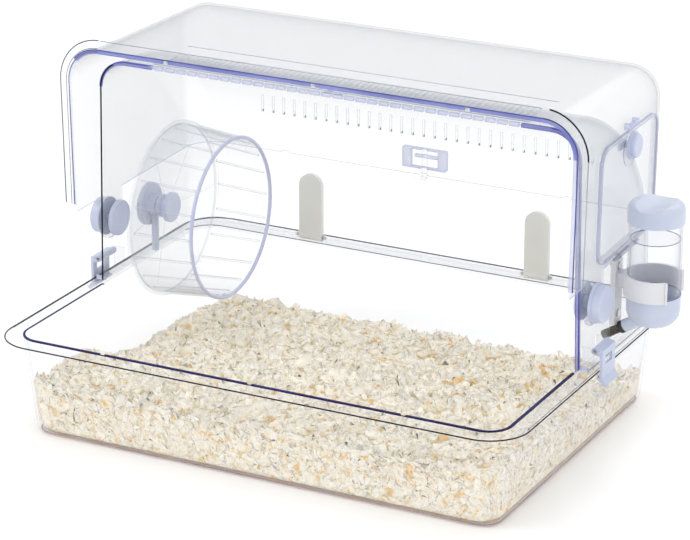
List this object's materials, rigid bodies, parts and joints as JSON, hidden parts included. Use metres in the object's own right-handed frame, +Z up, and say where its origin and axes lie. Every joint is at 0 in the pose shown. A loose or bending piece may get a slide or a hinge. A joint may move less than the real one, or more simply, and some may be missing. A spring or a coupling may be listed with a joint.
{
  "type": "hamster cage",
  "caption": "Clear hamster cage: deep tray with bedding, rear hood, swing-over front cover with a side door, running wheel and outside water bottle.",
  "frame": {"origin": "centre of the tray's underside", "axes": "+X to the viewer's right along the long side, towards the water bottle; +Y from the open front to the back; +Z up"},
  "size_m": [0.5217, 0.353, 0.312],
  "materials": {
    "clear_plastic": "clear gloss",
    "cover_plastic": "clear gloss",
    "tray_plastic": "clear gloss",
    "door_plastic": "clear gloss",
    "lavender_plastic": "gloss",
    "lavender_clear": "clear gloss",
    "grey_plastic": "satin",
    "white_plastic": "satin",
    "frosted_plastic": "satin",
    "bottle_plastic": "clear gloss",
    "water": "clear",
    "dark_steel": "dark polished",
    "pin_steel": "brushed",
    "rubber_seal": "matte",
    "paper_flakes": "matte"
  },
  "bodies": {
    "base": {"base_tray": "tray_plastic", "bedding": "paper_flakes", "hood": "clear_plastic", "latch_keeper": "clear_plastic", "corner_feet": "lavender_plastic", "pivot_pin_left": "lavender_clear", "pivot_pin_right": "lavender_clear", "pivot_cap_left": "lavender_plastic", "pivot_cap_right": "lavender_plastic", "latch_pin_left": "pin_steel", "latch_pin_right": "pin_steel", "rear_clip_pins": "pin_steel", "wheel_mount_disc": "lavender_clear", "wheel_mount_nut": "lavender_plastic", "wheel_mount_strut": "lavender_plastic", "wheel_axle": "lavender_plastic", "wheel_axle_cap": "lavender_plastic", "bottle_bracket": "white_plastic", "bracket_screws": "pin_steel", "bottle_strap": "white_plastic", "bottle_body": "bottle_plastic", "bottle_base": "frosted_plastic", "bottle_water": "water", "drinking_tube": "dark_steel", "tube_seal": "rubber_seal"},
    "front_cover": {"front_cover": "cover_plastic", "cover_latch_frame": "lavender_plastic", "door_hinge_pin": "pin_steel", "door_keeper": "door_plastic"},
    "cover_bolt": {"cover_latch_bolt": "lavender_plastic"},
    "side_door": {"side_door": "door_plastic"},
    "door_knob": {"door_knob": "lavender_plastic"},
    "side_latch_left": {"side_latch_left": "lavender_plastic"},
    "side_latch_right": {"side_latch_right": "lavender_plastic"},
    "rear_clip_left": {"rear_clip_left": "grey_plastic"},
    "rear_clip_right": {"rear_clip_right": "grey_plastic"},
    "wheel": {"wheel_drum": "lavender_clear", "wheel_front_ring": "lavender_plastic", "wheel_back_disc": "lavender_clear", "wheel_hub": "lavender_plastic", "wheel_bush": "white_plastic"},
    "bottle_cap": {"bottle_cap": "frosted_plastic"},
    "drinking_ball": {"drinking_ball": "pin_steel"}
  },
  "joints": [
    {"name": "cover_swing", "type": "hinge", "parent": "base", "child": "front_cover", "pos_m": [0, 0.002, 0.139], "axis": [1, 0, 0], "range_deg": [0, 90]},
    {"name": "cover_bolt_slide", "type": "slide", "parent": "front_cover", "child": "cover_bolt", "axis": [0, 0, -1], "range_m": [0, 0.0075]},
    {"name": "side_door_swing", "type": "hinge", "parent": "front_cover", "child": "side_door", "pos_m": [0.22726, 0.06104, 0.16536], "axis": [-0.0189, 0.9998, 0], "range_deg": [0, 4]},
    {"name": "door_knob_turn", "type": "hinge", "parent": "side_door", "child": "door_knob", "pos_m": [0.22863, 0.06107, 0.25445], "axis": [0.9997, 0.0189, -0.0142], "range_deg": [-90, 0]},
    {"name": "side_latch_left_swing", "type": "hinge", "parent": "base", "child": "side_latch_left", "pos_m": [-0.2315, 0.004, 0.102], "axis": [0, 1, 0], "range_deg": [0, 70]},
    {"name": "side_latch_right_swing", "type": "hinge", "parent": "base", "child": "side_latch_right", "pos_m": [0.2315, 0.004, 0.102], "axis": [0, -1, 0], "range_deg": [0, 70]},
    {"name": "rear_clip_left_swing", "type": "hinge", "parent": "base", "child": "rear_clip_left", "pos_m": [-0.109, 0.1526, 0.0912], "axis": [-1, 0, 0], "range_deg": [0, 70]},
    {"name": "rear_clip_right_swing", "type": "hinge", "parent": "base", "child": "rear_clip_right", "pos_m": [0.109, 0.1526, 0.0912], "axis": [-1, 0, 0], "range_deg": [0, 70]},
    {"name": "wheel_spin", "type": "hinge", "parent": "base", "child": "wheel", "pos_m": [-0.191, 0.053, 0.136], "axis": [1, 0, 0], "continuous": true},
    {"name": "bottle_cap_lift", "type": "slide", "parent": "base", "child": "bottle_cap", "axis": [0, 0, 1], "range_m": [0, 0.025]},
    {"name": "drinking_ball_push", "type": "slide", "parent": "base", "child": "drinking_ball", "axis": [0.8517, 0, 0.524], "range_m": [0, 0.001]}
  ]
}
